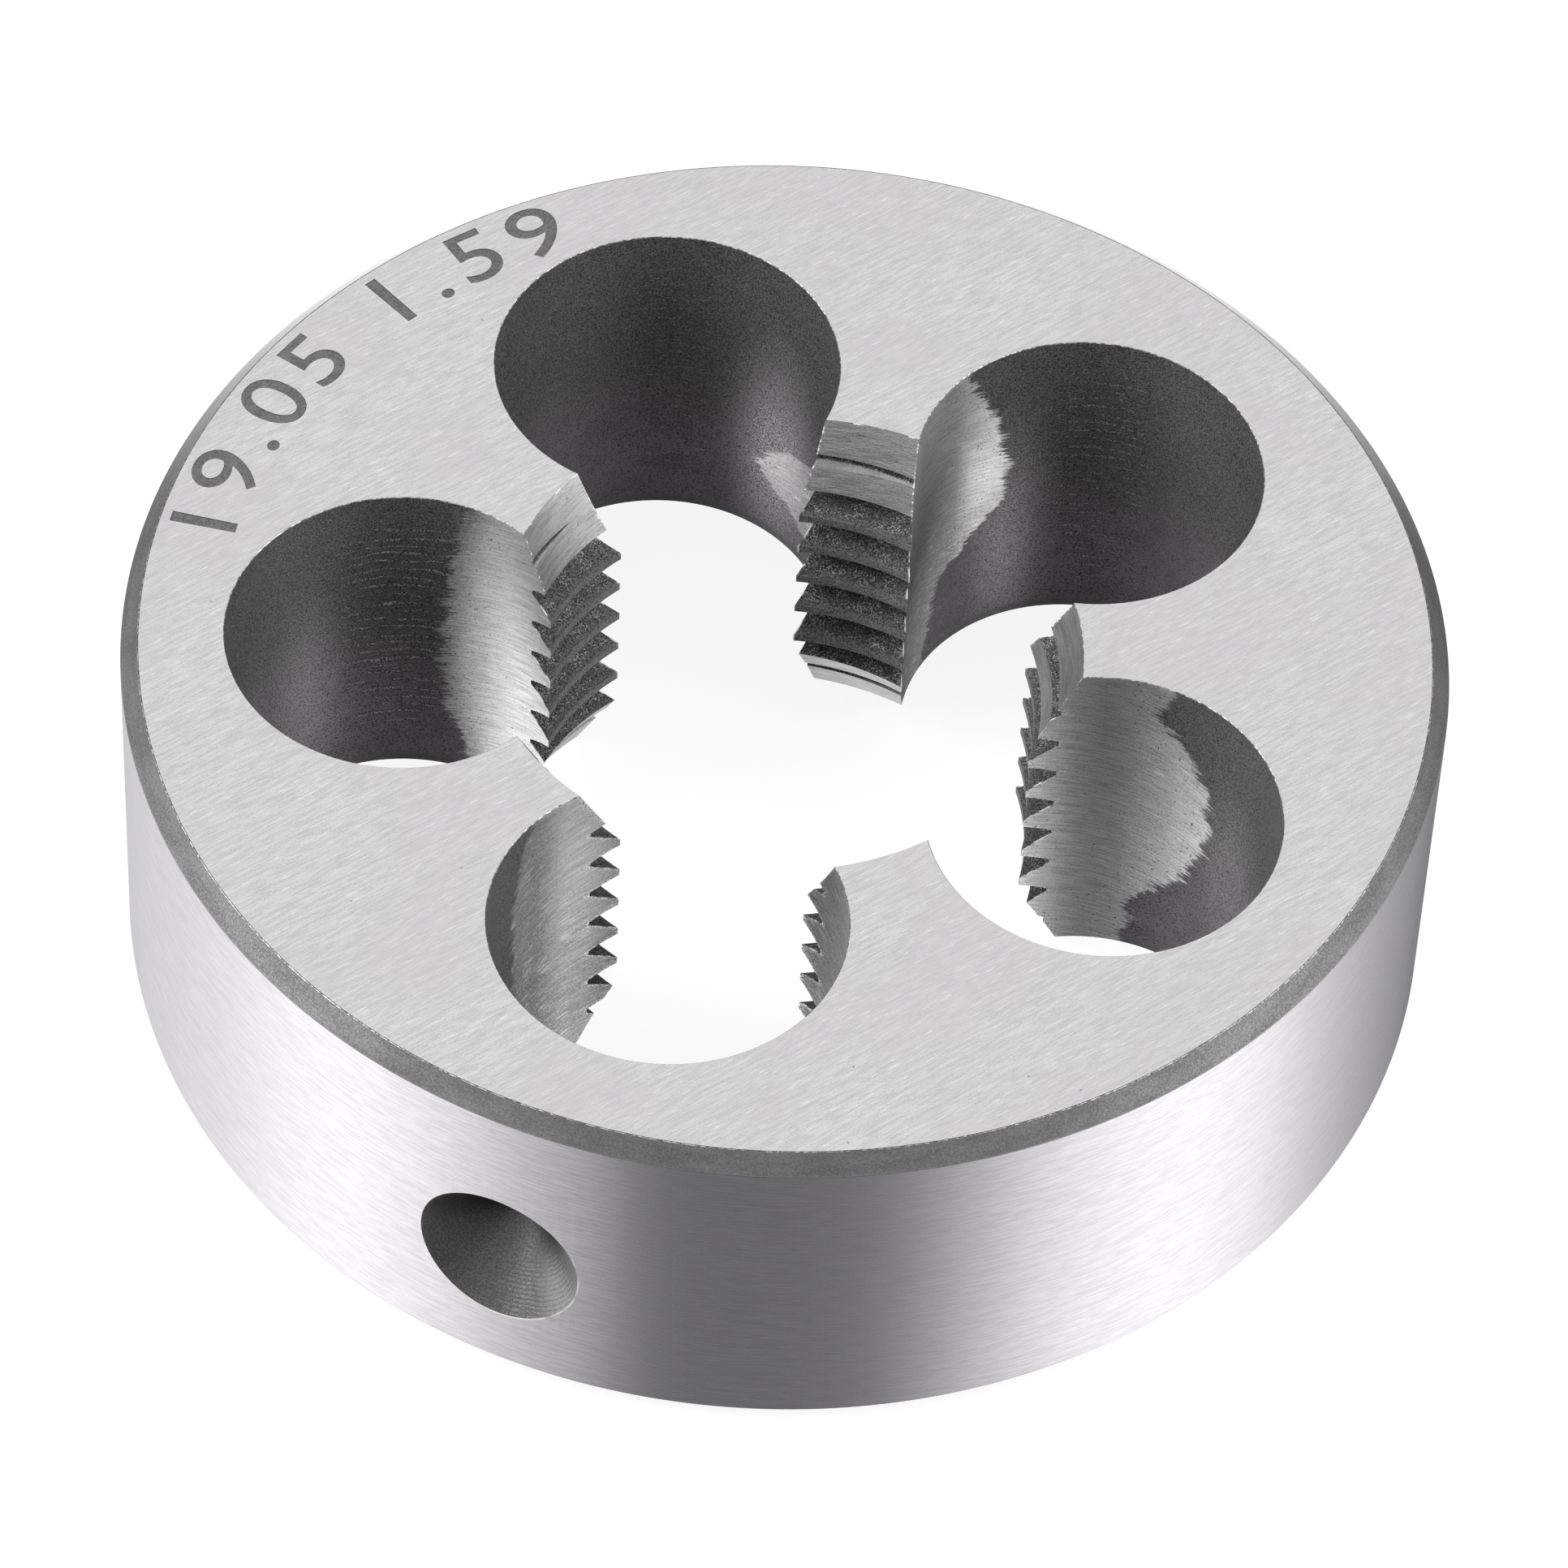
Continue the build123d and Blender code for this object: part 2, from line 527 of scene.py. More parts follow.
# The painted highlight and shade on each strip: its level at a first and a second turn, and the
# factor at a first and a second height.
STRIP_LIGHT = {
    (0, 1): ((48, 0.8), (66, 0.25), (3, 0.62), (13, 1.38)),
    (0, -1): ((50, 0.25), (70, 0.35), (3, 1.0), (12, 1.0)),
    (1, -1): ((60, 1.25), (81, 0.8), (4, 1.0), (12, 0.88)),
    (2, -1): ((79, 0.9), (93, 2.3), (5, 0.35), (14, 1.6)),
    (3, 1): ((100, 0.5), (118, 0.72), (2, 0.7), (4, 1.0)),
    (4, 1): ((48, 1.35), (70, 0.95), (2, 0.9), (13, 1.12))}
EVEN = ((0, 0.9), (90, 0.9), (0, 1.0), (14, 1.0))     # all other strips
STRIP_LIGHT_LIMIT = 1.5
# The painted light and shade of a strip can fade out towards its edge.
FADED_END = {(4, 1): (1.2, 0.55)}     # a strip that fades out: over how far, and down to what
# Where the drill's rings carry painted glints in a hole: the turn of the middle, the half width,
# and how much. Where the skin carries a painted sheen: the turn and height of the middle, both
# half widths and how much.
RING_GLINTS = {2: (-135, 24, 0.7), 3: (160, 22, 0.35), 4: (89, 30, 1.0)}
SKIN_SHEEN = {1: (-107, 6.8, 20, 5, 0.22), 2: (-104, 4.5, 22, 8, 0.55),
             3: (118, 4.6, 28, 7, 0.72), 4: (123, 5.2, 20, 6.3, 0.27)}
print("strips:", len(STRIPS), "holes with thin skin:", len(SKIN_SHEEN))

# %% Paint them on the points of the walls
def strip_end(arcs, height):
    """The turn at which a reground strip ends at a height."""
    ends = []
    for widest_at, widest, above, below in arcs:
        narrow = above if height > widest_at else below
        ends.append(widest - narrow * (height - widest_at) ** 2)
    return max(ends)


def soft_step(value, first, last):
    """Go softly from the level of the first place to that of the last."""
    share = min(1.0, max(0.0, (value - first[0]) / (last[0] - first[0])))
    return first[1] + (last[1] - first[1]) * share * share * (3 - 2 * share)


depths, strip_lights, wear_and_highlight, sheen = [], [], [], []
for vertex in die.data.vertices:
    number, gap, turn = hole_place(vertex.co)
    side = (number, 1 if turn > 0 else -1)
    height = vertex.co.z / mm
    depths.append(math.radians(strip_end(STRIPS[side], height) - abs(turn)) * HOLE_RADIUS)
    turn_0, turn_1, height_0, height_1 = STRIP_LIGHT.get(side, EVEN)
    polish = soft_step(abs(turn), turn_0, turn_1) * soft_step(height, height_0, height_1)
    over, level = FADED_END.get(side, (1.0, 1.0))
    polish *= soft_step(depths[-1], (0.0, level), (over, 1.0))
    strip_lights.append(min(STRIP_LIGHT_LIMIT, polish))
    middle, half, share = RING_GLINTS.get(number, (0, 20, 0.0))
    off = abs((turn - middle + 180) % 360 - 180)
    wear_and_highlight.append(soft_step(off, (6, share), (half, 0.0)))
    middle, level, half, tall, share = SKIN_SHEEN.get(number, (0, 7, 20, 5, 0.0))
    off = math.hypot(((turn - middle + 180) % 360 - 180) / half, (height - level) / tall)
    sheen.append(soft_step(off, (0.1, share), (1.0, 0.0)))
for name, values in (("strip_depth", depths), ("polish", strip_lights), ("worn_rings", wear_and_highlight),
                     ("thin_skin", sheen)):
    painted = die.data.attributes.new(name, "FLOAT", "POINT")
    painted.data.foreach_set("value", values)
print(f"strip depth {min(depths):.1f} to {max(depths):.1f} mm, polish up to {max(strip_lights):.2f}")

# %% [markdown]
# ## Words for the nodes
#
# A finish is a tree of nodes. These few helpers keep each tree short enough to
# read. Lengths are in millimetres, as the marks of a tool are judged.
# Most finishes start from a grain, which is noise drawn out to the shape of a
# mark, and lay flecks of a lighter and a darker grey over it.

# %% Helpers that add nodes and do sums
def link(tree, socket, value):
    """Give a socket a number, a colour or the output of another node."""
    if isinstance(value, bpy.types.NodeSocket):
        tree.links.new(value, socket)
    else:
        socket.default_value = value


def node(tree, kind, inputs=(), output=0, **settings):
    """Add a node, set it up, and give back one of its outputs."""
    made = tree.nodes.new("ShaderNode" + kind)
    for name, value in settings.items():
        setattr(made, name, value)
    for name, value in inputs:
        link(tree, made.inputs[name], value)
    return made.outputs[output]


def calc(tree, operation, *values):
    """One step of arithmetic."""
    return node(tree, "Math", list(enumerate(values)), operation=operation)


def times(tree, first, *others):
    """Multiply two or more values."""
    for other in others:
        first = calc(tree, "MULTIPLY", first, other)
    return first


def plus(tree, first, *others):
    """Add two or more values."""
    for other in others:
        first = calc(tree, "ADD", first, other)
    return first


def minus(tree, one, other):
    """Take one value from another."""
    return calc(tree, "SUBTRACT", one, other)


def span(tree, one, other):
    """The distance across two legs that stand square to each other."""
    return calc(tree, "SQRT", plus(tree, times(tree, one, one), times(tree, other, other)))


def ease(tree, value, low, high, first=0.0, last=1.0):
    """Follow a value from low to high, softly, and give first to last."""
    return node(tree, "MapRange", [
        ("Value", value), ("From Min", low), ("From Max", high), ("To Min", first),
        ("To Max", last)], interpolation_type="SMOOTHSTEP")


# %% Helpers that mix greys and make grain
def grey(level, tint=(1.0, 1.0, 1.0)):
    """A colour of one level, with a slight tint."""
    return tuple(level * t for t in tint) + (1.0,)


def blend(tree, share, one, other, way="MIX"):
    """Mix two colours, which a Mix node takes at inputs 6 and 7 and gives at output 2."""
    made = tree.nodes.new("ShaderNodeMix")
    made.data_type, made.blend_type = "RGBA", way
    link(tree, made.inputs["Factor"], share)
    link(tree, made.inputs[6], one)
    link(tree, made.inputs[7], other)
    return made.outputs[2]


def between(tree, value, low, high, first, last):
    """A grey that goes from one level to another as a value goes from low to high."""
    return blend(tree, ease(tree, value, low, high), grey(first), grey(last))


def fleck(tree, colour, level, value, low, high, share=1.0):
    """Lay a grey over a colour, up to a share, as a value goes from low to high."""
    return blend(tree, ease(tree, value, low, high, 0.0, share), colour, grey(level))


def place(tree, stretch=(1, 1, 1), turn=0.0):
    """The point on the die in millimetres, turned about the axis and stretched."""
    spot = node(tree, "TexCoord", output="Object")
    spot = node(tree, "Mapping", [("Vector", spot), ("Scale", (1 / mm, 1 / mm, 1 / mm)),
                                  ("Rotation", (0, 0, math.radians(turn)))])
    return node(tree, "Mapping", [("Vector", spot), ("Scale", stretch)])


def noise(tree, spot, detail, rough, scale=1.0):
    """Cloudy noise between 0 and 1 at a place."""
    return node(tree, "TexNoise", [("Vector", spot), ("Scale", scale), ("Detail", detail),
                                   ("Roughness", rough)])


def grain(tree, counts, detail=2.0, rough=0.6, turn=0.0):
    """Noise with so many spots to the millimetre, one count for all axes or one for each."""
    counts = counts if isinstance(counts, tuple) else (counts, counts, counts)
    return noise(tree, place(tree, counts, turn), detail, rough)


def finish(name):
    """The tree and the shader of one finish."""
    material = bpy.data.materials[name]
    material.use_nodes = True
    print(f"finish {name} for {tally.get(name, 1)} faces")
    return material.node_tree, material.node_tree.nodes["Principled BSDF"]


def dress(tree, shader, metal, colour, rough, bump, depth):
    """Join what a finish has worked out to its shader; bump depth is in millimetres."""
    link(tree, shader.inputs["Metallic"], metal)
    link(tree, shader.inputs["Base Color"], colour)
    link(tree, shader.inputs["Roughness"], rough)
    link(tree, shader.inputs["Normal"], node(tree, "Bump", [
        ("Height", bump), ("Distance", depth * mm), ("Strength", 1.0)]))


# %% [markdown]
# ## A map of the die for its finishes
#
# Several marks follow the shape: a burr along each tooth, a worn edge where a
# chip hole breaks through. One group of nodes works out, from the place of a
# point alone, its radius and height, its gap to the nearest chip hole and its
# turn round it, its gap to the surface of the thread, and its distance from the
# axis of the seats, its turn round that axis and its gap to a seat.

# %% Build the map group
def build_map():
    """A node group that tells where a point of the die lies, in millimetres and degrees."""
    group = bpy.data.node_groups.new("die_map", "ShaderNodeTree")
    x, y, height = node(group, "SeparateXYZ", [(0, place(group))]).node.outputs
    radius = span(group, x, y)
    angle = calc(group, "ARCTAN2", y, x)

    sector = 2 * math.pi / HOLE_COUNT
    from_hole = minus(group, angle, math.radians(FIRST_HOLE) - sector / 2)
    from_hole = minus(group, calc(group, "FLOORED_MODULO", from_hole, sector), sector / 2)
    along = minus(group, HOLE_CIRCLE, times(group, radius, calc(group, "COSINE", from_hole)))
    across = times(group, radius, calc(group, "SINE", from_hole))

    turns = calc(group, "DIVIDE", minus(group, angle, math.radians(THREAD_START)), 2 * math.pi)
    climb = minus(group, calc(group, "DIVIDE", height, PITCH), turns)
    phase = calc(group, "FRACT", plus(group, climb, 0.5))
    from_root = times(group, calc(group, "ABSOLUTE", minus(group, phase, 0.5)), PITCH)
    rise = calc(group, "DIVIDE", minus(group, from_root, ROOT_FLAT / 2), FLANK_SLOPE)
    thread = calc(group, "MINIMUM", THREAD_RADIUS, minus(group, THREAD_RADIUS, rise))
    thread = calc(group, "MAXIMUM", CREST_RADIUS, thread)
    depth = calc(group, "MINIMUM", height, minus(group, THICKNESS, height))
    mouth = minus(group, MOUTH_RADIUS, times(group, depth, MOUTH_SLOPE))

    seat_x, seat_y = math.cos(math.radians(FIRST_SEAT)), math.sin(math.radians(FIRST_SEAT))
    beside = minus(group, times(group, y, seat_x), times(group, x, seat_y))
    ahead = calc(group, "ABSOLUTE", plus(group, times(group, x, seat_x), times(group, y, seat_y)))
    over = minus(group, height, SEAT_HEIGHT)
    seat_out = span(group, beside, over)

    found = {
        "x": x, "y": y, "radius": radius, "height": height,
        "hole_gap": minus(group, span(group, along, across), HOLE_RADIUS),
        "hole_turn": calc(group, "DEGREES", calc(group, "ARCTAN2", across, along)),
        "tooth_gap": minus(group, radius, calc(group, "MAXIMUM", thread, mouth)),
        "seat_out": seat_out,
        "seat_turn": calc(group, "ARCTAN2", over, beside),
        "seat_gap": minus(group, seat_out, minus(group, ahead, RIM_RADIUS - SEAT_RADIUS))}
    for name in found:
        group.interface.new_socket(name, in_out="OUTPUT", socket_type="NodeSocketFloat")
    out = group.nodes.new("NodeGroupOutput")
    for name, value in found.items():
        link(group, out.inputs[name], value)
    print("map group has", len(group.nodes), "nodes")
    return group


DIE_MAP = build_map()


def mapped(tree):
    """The outputs of the map in one finish."""
    made = tree.nodes.new("ShaderNodeGroup")
    made.node_tree = DIE_MAP
    return made.outputs


# %% [markdown]
# ## The ground faces
#
# Both faces are surface ground: a wheel passes over them in straight lines and
# leaves a bright grey with fine parallel scratches. Noise with ten times as many
# spots across the lines as along them gives such strokes. There are three layers
# of it, each turned by a degree or so: a soft grain all over, short light
# scratches and a few dark ones. Under them lie a grain like fine sand and wide
# pale clouds, and over them a few small pits.

# %% Finish the ground faces
GRIND_HEADING = 52.0

tree, shader = finish("ground_face")
soft = grain(tree, (0.8, 8, 2), 3.0, 0.7, -GRIND_HEADING)
runs = grain(tree, (0.15, 6, 2), 1.0, 0.5, -GRIND_HEADING - 1)
light = grain(tree, (1.6, 22, 3), 1.0, 0.5, -GRIND_HEADING - 1)
dark = grain(tree, (0.8, 22, 7), 2.0, 0.6, -GRIND_HEADING + 1.5)
fine = grain(tree, 14)
cloud = ease(tree, grain(tree, 0.16, 3.0, 0.5), 0.4, 0.6, 0.0, 0.5)
light = times(tree, ease(tree, light, 0.55, 0.67), ease(tree, runs, 0.42, 0.6, 0.1, 1.0))
colour = between(tree, soft, 0.36, 0.64, 0.56, 0.70)
colour = fleck(tree, colour, 0.85, fine, 0.5, 0.64, 0.2)
colour = fleck(tree, colour, 0.4, fine, 0.5, 0.36, 0.17)
colour = blend(tree, cloud, colour, grey(0.61, (1.01, 0.965, 1.0)))
colour = blend(tree, times(tree, light, 0.45), colour, grey(0.95))
colour = fleck(tree, colour, 0.4, dark, 0.6, 0.74, 0.4)
colour = fleck(tree, colour, 0.2, grain(tree, 4, 0.0, 0.5), 0.88, 0.9, 0.6)
dress(tree, shader, 1.0, colour, ease(tree, soft, 0.36, 0.64, 0.36, 0.3), soft, 0.004)

# %% [markdown]
# ## The size marks
#
# The numbers are etched: acid eats a few hundredths of a millimetre of the ground
# face and leaves it dull and grey, with a grain but with no scratches.

# %% Finish the marks
tree, shader = finish("etched_mark")
grainy = grain(tree, 12, 3.0)
colour = between(tree, grainy, 0.35, 0.65, 0.12, 0.2)
colour = fleck(tree, colour, 0.24, grain(tree, 1.5), 0.45, 0.65, 0.4)
dress(tree, shader, 1.0, colour, 0.5, grainy, 0.004)

# %% [markdown]
# ## The ground rim
#
# The rim is ground as the die turns, so its lines run round it. They are finer
# than those on the faces and leave a satin surface, which draws the light out
# into soft bright bands. Noise with many more spots along the axis gives them.
# Round the lower right of each seat, a lip of burr at its edge
# carries a painted highlight.

# %% Finish the rim
LIP_TURN = 35.0               # the middle of the lip is this far below the right of a seat


def beside_turn(tree, place_of, below, low, high):
    """A soft sector of a seat, with its middle so many degrees below the right."""
    swing = plus(tree, place_of["seat_turn"], math.radians(below))
    return ease(tree, calc(tree, "COSINE", swing), low, high)


tree, shader = finish("ground_rim")
place_of = mapped(tree)
rings = grain(tree, (0.9, 0.9, 12), 4.0, 0.7)
marks = grain(tree, (0.9, 0.9, 26), 1.0)
cast = (1.018, 0.988, 1.036)
colour = blend(tree, ease(tree, rings, 0.36, 0.64), grey(0.55, cast), grey(0.655, cast))
colour = fleck(tree, colour, 0.4, marks, 0.6, 0.76, 0.2)
# The lip of burr, painted bright as a highlight on the lower right of a seat.
lip = times(tree, ease(tree, place_of["seat_gap"], 0.09, 0.04),
            ease(tree, grain(tree, 1.1), 0.36, 0.5),
            beside_turn(tree, place_of, LIP_TURN, 0.1, 0.8))
colour = blend(tree, lip, colour, grey(0.95))
dress(tree, shader, 1.0, colour, ease(tree, rings, 0.36, 0.64, 0.30, 0.26), rings, 0.0007)

# %% [markdown]
# ## The turned bevels and broken edges
#
# The bevels are left as they came from hardening, a flat dark grey with a fine
# tooth. Where one is seen at a low slant, round the back, it carries a painted
# pale sheen. The broken edges beside them are bare steel, bright in short lengths.

# %% Finish the bevels
tree, shader = finish("turned_bevel")
fine = grain(tree, 15)
colour = between(tree, grain(tree, (0.5, 0.5, 3), 3.0, 0.5), 0.3, 0.7, 0.12, 0.16)
colour = fleck(tree, colour, 0.22, fine, 0.5, 0.64, 0.35)
colour = fleck(tree, colour, 0.08, fine, 0.5, 0.36, 0.35)
# A painted pale sheen where the bevel is seen at a low slant.
slant = ease(tree, node(tree, "LayerWeight", [("Blend", 0.5)], "Facing"), 0.6, 0.97)
colour = blend(tree, slant, colour, grey(0.97, (0.99, 0.99, 1.0)))
metal = minus(tree, 1.0, slant)
link(tree, shader.inputs["Specular IOR Level"], times(tree, metal, 0.5))
dress(tree, shader, metal, colour, ease(tree, fine, 0.3, 0.7, 0.6, 0.5), fine, 0.004)

# %% Finish the broken edges
tree, shader = finish("broken_edge")
nicks = grain(tree, 6)
outer = ease(tree, mapped(tree)["radius"], RIM_RADIUS - RIM_BEVEL / 2, RIM_RADIUS - RIM_BEVEL / 4)
colour = between(tree, grain(tree, 1.1, 3.0), 0.42, 0.6, 0.15, 0.3)
colour = fleck(tree, colour, 0.5, nicks, 0.5, 0.62)
colour = fleck(tree, colour, 0.08, nicks, 0.46, 0.38)
colour = blend(tree, outer, colour, grey(0.25))
dress(tree, shader, 1.0, colour, 0.5, nicks, 0.01)

# %% [markdown]
# ## The chip hole walls
#
# Hardening leaves a black brown skin on the drilled walls. It isn't metal to look
# at: it is an oxide, with a grain like fine sand. Short lengths of the drill's
# rings carry painted glints, with painted shade under them. Where the wheel has
# reground the strips beside the lands, bare steel shows, streaked along the way
# the wheel passed and spotted with black pits. The painted depth, roughened by
# noise, decides between the two.

# %% The dark skin of the walls
tree, shader = finish("drilled_wall")
place_of = mapped(tree)
sand = grain(tree, (15, 15, 18))
cloud = ease(tree, grain(tree, (0.7, 0.7, 0.9), 3.0), 0.4, 0.62, 0.0, 0.35)
up = place_of["height"]
# The skin is painted lighter towards the bottom, as a painted reflection of the bright ground,
# and is more purple there.
higher = ease(tree, up, 2.0, 9.0)
skin = blend(tree, higher, grey(0.2, (1.09, 0.94, 1.07)), grey(0.085, (1.0, 1.0, 0.99)))
skin = blend(tree, cloud, skin, grey(0.06, (1.04, 0.98, 1.03)))
skin = fleck(tree, skin, 0.17, sand, 0.5, 0.64, 0.75)
skin = fleck(tree, skin, 0.01, sand, 0.5, 0.38, 0.85)

# %% Painted glints on the drill's rings, with painted shade under them
RING_PITCH = 0.42             # the height from one ring to the next
RING_SWAY = 11.0              # how far the rings wander, in radians of their wave

climb = times(tree, up, 2 * math.pi / RING_PITCH)
wobble = times(tree, grain(tree, (0.35, 0.35, 0.9)), RING_SWAY)
ring = calc(tree, "SINE", plus(tree, climb, wobble))
wear_and_highlight = node(tree, "Attribute", output="Fac", attribute_name="worn_rings")
where = times(tree, wear_and_highlight, ease(tree, up, 1.0, 3.0), ease(tree, up, 13.2, 11.5),
              ease(tree, grain(tree, (0.5, 0.5, 0.35), 1.0, 0.5), 0.32, 0.48),
              ease(tree, grain(tree, (1.8, 1.8, 5.0)), 0.4, 0.54))
# Painted glints on the rings, and painted shade under each ring.
painted_glints = times(tree, ease(tree, ring, 0.45, 0.9), ease(tree, sand, 0.46, 0.58), where)
painted_ring_shade = times(tree, ease(tree, ring, -0.6, 0.4, 0.0, 0.5), where)
skin = blend(tree, painted_ring_shade, skin, grey(0.015))
skin = blend(tree, painted_glints, skin, grey(0.42))

# %% A painted sheen on the skin, and an even band at the bottom
sheen = node(tree, "Attribute", output="Fac", attribute_name="thin_skin")
sheen = times(tree, sheen, ease(tree, sand, 0.4, 0.6, 0.4, 1.15))
# A painted sheen lifts the dark skin towards a pale grey.
skin = blend(tree, sheen, skin, grey(0.5, (1.02, 0.98, 1.02)))
# A narrow band at the very bottom is drawn towards one dark grey.
bottom_band = ease(tree, up, 0.55, 0.25, 0.0, 0.8)
skin = blend(tree, bottom_band, skin, grey(0.13, (0.98, 1.0, 0.98)))

# %% The bare steel of the strips
SWEEP_SLOPE = 0.27            # the wheel climbed by this share of its way round the wall

depth = node(tree, "Attribute", output="Fac", attribute_name="strip_depth")
polish = node(tree, "Attribute", output="Fac", attribute_name="polish")
# Millimetres round the wall from the bore, and along the sweep of the wheel.
arc = times(tree, calc(tree, "ABSOLUTE", place_of["hole_turn"]), math.radians(HOLE_RADIUS))
sweep = plus(tree, up, times(tree, arc, SWEEP_SLOPE))
swept = node(tree, "CombineXYZ", [("X", times(tree, arc, 0.7)), ("Z", times(tree, sweep, 13.0))])
streaks = noise(tree, swept, 4.0, 0.7)
steel = between(tree, streaks, 0.36, 0.64, 0.42, 0.68)
# The steel is multiplied by its painted light and shade, and turns purple where painted shade and
# the skin's painted sheen lie together.
dull = times(tree, ease(tree, polish, 0.9, 0.35, 0.0, 0.5), ease(tree, sheen, 0.02, 0.2))
steel = blend(tree, dull, steel, grey(1.0, (1.06, 0.95, 1.05)), "MULTIPLY")
steel = blend(tree, 1.0, steel, polish, "MULTIPLY")
steel = fleck(tree, steel, 0.95, noise(tree, swept, 1.0, 0.5, 1.7), 0.6, 0.7, 0.5)
steel = fleck(tree, steel, 0.9, sand, 0.5, 0.62, 0.2)
steel = fleck(tree, steel, 0.08, sand, 0.46, 0.36, 0.2)
pits = minus(tree, grain(tree, (11, 11, 13), 0.0, 0.5), ease(tree, depth, 3.0, 0.0, 0.8, 0.72))
steel = fleck(tree, steel, 0.04, pits, 0.0, 0.03, 0.8)
near_teeth = ease(tree, place_of["tooth_gap"], 0.3, 0.0)
# Real burr along the teeth, painted nearly white as a glint.
burr = times(tree, near_teeth, ease(tree, sand, 0.5, 0.58, 0.0, 0.9))
chips = times(tree, near_teeth, ease(tree, sand, 0.44, 0.38, 0.0, 0.5))
steel = blend(tree, burr, steel, grey(0.95))
steel = blend(tree, chips, steel, grey(0.06))

# %% Join skin and steel along a ragged line
fingers = times(tree, minus(tree, noise(tree, swept, 3.0, 0.65, 0.8), 0.5), 1.5)
coarse = times(tree, minus(tree, grain(tree, (1.0, 1.0, 1.3), 3.0), 0.5), 1.4)
bare = ease(tree, plus(tree, depth, fingers, coarse), -0.12, 0.14)
colour = blend(tree, bare, skin, steel)
metal = calc(tree, "MAXIMUM", bare, calc(tree, "MAXIMUM", sheen, times(tree, painted_glints, 0.85)))
height = blend(tree, bare, plus(tree, times(tree, sand, 1.4), painted_glints),
               plus(tree, streaks, times(tree, sand, 0.5)))
shader.inputs["Specular IOR Level"].default_value = 0.2
shader.inputs["Anisotropic"].default_value = 0.7
link(tree, shader.inputs["Tangent"], node(tree, "CombineXYZ", [("Z", 1.0)]))
dress(tree, shader, metal, colour, ease(tree, bare, 0.0, 1.0, 0.46, 0.38), height, 0.012)

# %% [markdown]
# ## The mouths, the thread and the seats
#
# The countersunk mouths are bright and scratched along the way the tool passed,
# with a painted highlight by the left land, and a bead of burr, painted nearly
# white as a glint, where they meet the face and the chip holes. The thread behind
# them keeps the dark skin of hardening, with a speckle of bare grains, and grey
# flats where the tops of the teeth were cut last; by the left land it is painted
# darker as shade. The seats show the rings and the small shakes of the drill
# point, with painted shade in the grooves of the rings, and carry a painted
# highlight on their right.

# %% Steel that was cut last
def cut_steel(tree, place_of, mouth_highlight=0.0):
    """The colour, the bump and the burr of steel that the countersink cut, brightened where a
    painted highlight lies.
    """
    grainy = grain(tree, 16)
    lines = grain(tree, (0.9, 0.9, 11), 4.0, 0.7)
    wear_and_highlight = grain(tree, (4, 4, 9))
    colour = blend(tree, mouth_highlight, between(tree, lines, 0.34, 0.66, 0.4, 0.62),
                   between(tree, lines, 0.36, 0.56, 0.7, 1.0))
    colour = fleck(tree, colour, 0.9, grainy, 0.52, 0.68, 0.25)
    colour = fleck(tree, colour, 0.15, grainy, 0.46, 0.34, 0.25)
    colour = fleck(tree, colour, 0.1, wear_and_highlight, 0.68, 0.76, 0.7)
    rim = calc(tree, "MINIMUM", place_of["hole_gap"], minus(tree, THICKNESS, place_of["height"]))
    # A bead of real burr at the edges, painted nearly white as a glint.
    edge = times(tree, ease(tree, rim, 0.07, 0.02), ease(tree, wear_and_highlight, 0.49, 0.62))
    return blend(tree, edge, colour, grey(0.9)), plus(tree, lines, grainy), edge


# %% Finish the mouths
tree, shader = finish("cut_mouth")
place_of = mapped(tree)
# A painted highlight brightens the mouth by the left land, and a little on the right.
left_land = times(tree, ease(tree, place_of["x"], -5.0, -7.5),
                  ease(tree, place_of["y"], 1.5, 4.3, 0.25, 1.0))
mouth_highlight = plus(tree, left_land, ease(tree, place_of["x"], 6.0, 8.0, 0.0, 0.2))
colour, height, edge = cut_steel(tree, place_of, mouth_highlight)
dress(tree, shader, 1.0, colour, ease(tree, edge, 0.0, 1.0, 0.37, 0.9), height, 0.008)

# %% Finish the thread
tree, shader = finish("cut_thread")
place_of = mapped(tree)
radius = place_of["radius"]
speck = grain(tree, (17, 17, 12))
drift = grain(tree, (2.2, 2.2, 0.8))
tip = ease(tree, radius, CREST_RADIUS + 0.3, CREST_RADIUS + 0.02)
colour = between(tree, grain(tree, (0.8, 0.8, 9), 3.0), 0.3, 0.7, 0.022, 0.038)
colour = blend(tree, times(tree, tip, 0.6), colour, grey(0.09))
colour = fleck(tree, colour, 0.12, radius, CREST_RADIUS + 0.03, CREST_RADIUS + 0.01, 0.8)
colour = fleck(tree, colour, 0.015, speck, 0.47, 0.36, 0.8)
# The thread by the left land is painted darker as shade, with fewer bright grains.
left_land = ease(tree, place_of["x"], -5.0, -8.0, 0.0, 0.35)
bright = times(tree, ease(tree, speck, 0.48, 0.7), ease(tree, tip, 0.0, 1.0, 1.0, 0.2),
               ease(tree, drift, 0.38, 0.6, 0.2, 1.0), minus(tree, 1.0, left_land))
colour = blend(tree, bright, blend(tree, left_land, colour, grey(0.01)), grey(0.4))

# %% The first groove, cleaned by the countersink
from_end = calc(tree, "MINIMUM", place_of["height"], minus(tree, THICKNESS, place_of["height"]))
cleaned = times(tree, ease(tree, from_end, 1.75, 1.65),
                ease(tree, radius, THREAD_RADIUS - 0.02, THREAD_RADIUS - 0.08))
fresh = cut_steel(tree, place_of)[0]
colour = blend(tree, cleaned, colour, blend(tree, 0.7, fresh, grey(0.1)))
